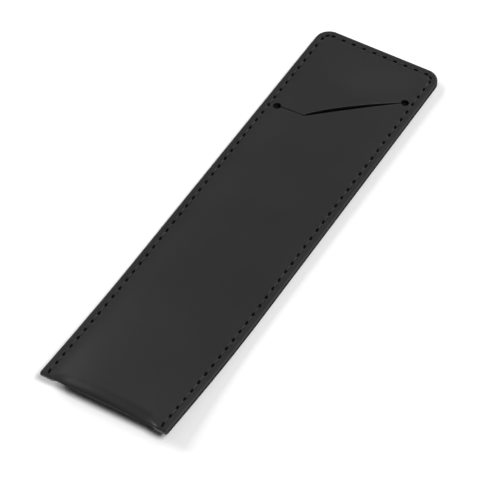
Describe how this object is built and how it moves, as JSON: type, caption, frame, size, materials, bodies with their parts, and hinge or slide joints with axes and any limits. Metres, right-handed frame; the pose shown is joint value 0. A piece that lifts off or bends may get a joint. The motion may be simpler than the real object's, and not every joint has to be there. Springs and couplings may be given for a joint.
{
  "type": "pen case",
  "caption": "Slim flat leather sleeve for a pen: a strip folded at one end, sewn round three sides, with a slanting slit and a tongue near its rounded end.",
  "frame": {"origin": "under the middle of the case, on the surface that its back lies on", "axes": "+Z out of the front, which has the slit; +Y along the case from the folded end to the rounded end; +X across it"},
  "size_m": [0.045, 0.1736, 0.0072],
  "materials": {
    "front_leather": "smooth matt black leather",
    "back_leather": "smooth matt black leather",
    "tongue_leather": "smooth matt black leather",
    "needle_thread": "black twisted thread",
    "bobbin_thread": "black twisted thread"
  },
  "bodies": {
    "case": {"front_panel": "front_leather", "back_panel": "back_leather", "needle_thread": "needle_thread", "bobbin_thread": "bobbin_thread"},
    "tongue": {"slit_tongue": "tongue_leather"}
  },
  "joints": [
    {"name": "tongue_bend", "type": "hinge", "parent": "case", "child": "tongue", "pos_m": [-0.00033, 0.05835, 0.00295], "axis": [-0.8475, -0.5309, 0], "range_deg": [0, 40], "stiffness_Nm_per_rad": 0.004}
  ]
}
